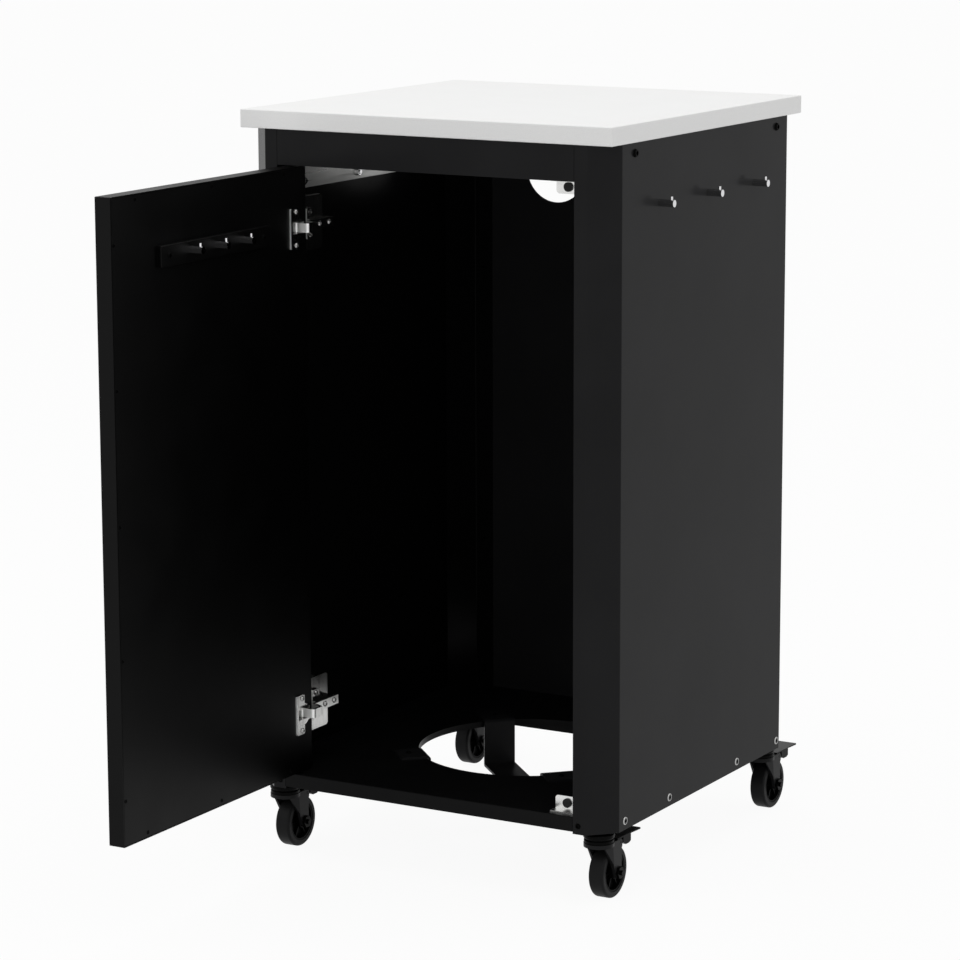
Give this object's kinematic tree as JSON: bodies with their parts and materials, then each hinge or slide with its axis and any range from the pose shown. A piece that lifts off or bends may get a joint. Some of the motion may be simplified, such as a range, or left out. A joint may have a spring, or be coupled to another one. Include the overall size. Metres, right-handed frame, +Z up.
{
  "type": "outdoor kitchen unit",
  "caption": "Wheeled outdoor kitchen cabinet: pale worktop, dark sheet-metal body with chamfered corners, hinged door, hook pegs, bottle well, hose hole, braked swivel castors.",
  "frame": {"origin": "on the floor under the centre of the cabinet", "axes": "+X to the right seen from the front, +Y to the back, +Z up; the door is open at 90 degrees"},
  "size_m": [0.5224, 0.899, 0.902],
  "materials": {
    "worktop": "satin white solid surface",
    "body_paint": "fine-textured anthracite powder coat",
    "door_paint": "fine-textured anthracite powder coat",
    "bearer_zinc": "zinc plated",
    "strap_paint": "satin black",
    "catch_zinc": "zinc plated",
    "magnet": "black",
    "hook_chrome": "polished",
    "screw_black": "black oxide",
    "screw_silver": "bright zinc",
    "hinge_steel": "nickel plated",
    "packer": "black",
    "castor_steel": "black zinc",
    "castor_fork": "moulded black nylon",
    "castor_core": "moulded black nylon",
    "castor_tyre": "smooth dark rubber",
    "castor_pedal": "moulded black nylon"
  },
  "bodies": {
    "cabinet": {"worktop": "worktop", "side_panel_left": "body_paint", "side_panel_right": "body_paint", "back_panel": "body_paint", "floor_panel": "body_paint", "bottle_hole_collar": "body_paint", "front_top_rail": "body_paint", "castor_plate_front": "body_paint", "castor_plate_rear": "body_paint", "castor_bars_front": "body_paint", "castor_bars_rear": "body_paint", "bearer_rail_left": "bearer_zinc", "bearer_rail_right": "bearer_zinc", "cradle_strap_lower": "strap_paint", "cradle_strap_upper": "strap_paint", "catch_bracket_top": "catch_zinc", "catch_bracket_bottom": "catch_zinc", "catch_magnets": "magnet", "side_hooks_left": "hook_chrome", "side_hooks_right": "hook_chrome", "side_screws_black": "screw_black", "cabinet_fasteners": "screw_black", "side_screws_silver": "screw_silver", "hinge_screws": "screw_silver", "hinge_plate_top": "hinge_steel", "hinge_plate_bottom": "hinge_steel", "hinge_arm_top": "hinge_steel", "hinge_arm_bottom": "hinge_steel", "hinge_packers": "packer", "castor_front_left_head": "castor_steel", "castor_front_right_head": "castor_steel", "castor_rear_left_head": "castor_steel", "castor_rear_right_head": "castor_steel"},
    "door": {"door_shell": "door_paint", "door_back_sheet": "door_paint", "door_screws": "screw_black", "hinge_cup_top": "hinge_steel", "hinge_cup_bottom": "hinge_steel", "hinge_pins": "hinge_steel", "hook_strip": "strap_paint", "door_hooks": "hook_chrome", "door_fitting_screws": "screw_silver", "door_handle": "door_paint"},
    "castor_front_left_swivel": {"castor_front_left_fork": "castor_fork", "castor_front_left_pins": "castor_steel"},
    "castor_front_left_rolling": {"castor_front_left_wheel": "castor_core", "castor_front_left_tyre": "castor_tyre"},
    "castor_front_left_brake": {"castor_front_left_pedal": "castor_pedal"},
    "castor_front_right_swivel": {"castor_front_right_fork": "castor_fork", "castor_front_right_pins": "castor_steel"},
    "castor_front_right_rolling": {"castor_front_right_wheel": "castor_core", "castor_front_right_tyre": "castor_tyre"},
    "castor_front_right_brake": {"castor_front_right_pedal": "castor_pedal"},
    "castor_rear_left_swivel": {"castor_rear_left_fork": "castor_fork", "castor_rear_left_pins": "castor_steel"},
    "castor_rear_left_rolling": {"castor_rear_left_wheel": "castor_core", "castor_rear_left_tyre": "castor_tyre"},
    "castor_rear_left_brake": {"castor_rear_left_pedal": "castor_pedal"},
    "castor_rear_right_swivel": {"castor_rear_right_fork": "castor_fork", "castor_rear_right_pins": "castor_steel"},
    "castor_rear_right_rolling": {"castor_rear_right_wheel": "castor_core", "castor_rear_right_tyre": "castor_tyre"},
    "castor_rear_right_brake": {"castor_rear_right_pedal": "castor_pedal"}
  },
  "joints": [
    {"name": "door_hinge", "type": "hinge", "parent": "cabinet", "child": "door", "pos_m": [-0.1814, -0.2298, 0.47225], "axis": [0, 0, 1], "range_deg": [0, 90]},
    {"name": "castor_front_left_turn", "type": "hinge", "parent": "cabinet", "child": "castor_front_left_swivel", "pos_m": [-0.216, -0.216, 0.0762], "axis": [0, 0, 1], "continuous": true},
    {"name": "castor_front_left_roll", "type": "hinge", "parent": "castor_front_left_swivel", "child": "castor_front_left_rolling", "pos_m": [-0.216, -0.194, 0.0311], "axis": [1, 0, 0], "continuous": true},
    {"name": "castor_front_left_press", "type": "hinge", "parent": "castor_front_left_swivel", "child": "castor_front_left_brake", "pos_m": [-0.216, -0.189, 0.0665], "axis": [-1, 0, 0], "range_deg": [0, 11]},
    {"name": "castor_front_right_turn", "type": "hinge", "parent": "cabinet", "child": "castor_front_right_swivel", "pos_m": [0.216, -0.216, 0.0762], "axis": [0, 0, 1], "continuous": true},
    {"name": "castor_front_right_roll", "type": "hinge", "parent": "castor_front_right_swivel", "child": "castor_front_right_rolling", "pos_m": [0.216, -0.194, 0.0311], "axis": [1, 0, 0], "continuous": true},
    {"name": "castor_front_right_press", "type": "hinge", "parent": "castor_front_right_swivel", "child": "castor_front_right_brake", "pos_m": [0.216, -0.189, 0.0665], "axis": [-1, 0, 0], "range_deg": [0, 11]},
    {"name": "castor_rear_left_turn", "type": "hinge", "parent": "cabinet", "child": "castor_rear_left_swivel", "pos_m": [-0.216, 0.216, 0.0762], "axis": [0, 0, 1], "continuous": true},
    {"name": "castor_rear_left_roll", "type": "hinge", "parent": "castor_rear_left_swivel", "child": "castor_rear_left_rolling", "pos_m": [-0.216, 0.238, 0.0311], "axis": [1, 0, 0], "continuous": true},
    {"name": "castor_rear_left_press", "type": "hinge", "parent": "castor_rear_left_swivel", "child": "castor_rear_left_brake", "pos_m": [-0.216, 0.243, 0.0665], "axis": [-1, 0, 0], "range_deg": [0, 11]},
    {"name": "castor_rear_right_turn", "type": "hinge", "parent": "cabinet", "child": "castor_rear_right_swivel", "pos_m": [0.216, 0.216, 0.0762], "axis": [0, 0, 1], "continuous": true},
    {"name": "castor_rear_right_roll", "type": "hinge", "parent": "castor_rear_right_swivel", "child": "castor_rear_right_rolling", "pos_m": [0.216, 0.238, 0.0311], "axis": [1, 0, 0], "continuous": true},
    {"name": "castor_rear_right_press", "type": "hinge", "parent": "castor_rear_right_swivel", "child": "castor_rear_right_brake", "pos_m": [0.216, 0.243, 0.0665], "axis": [-1, 0, 0], "range_deg": [0, 11]}
  ]
}
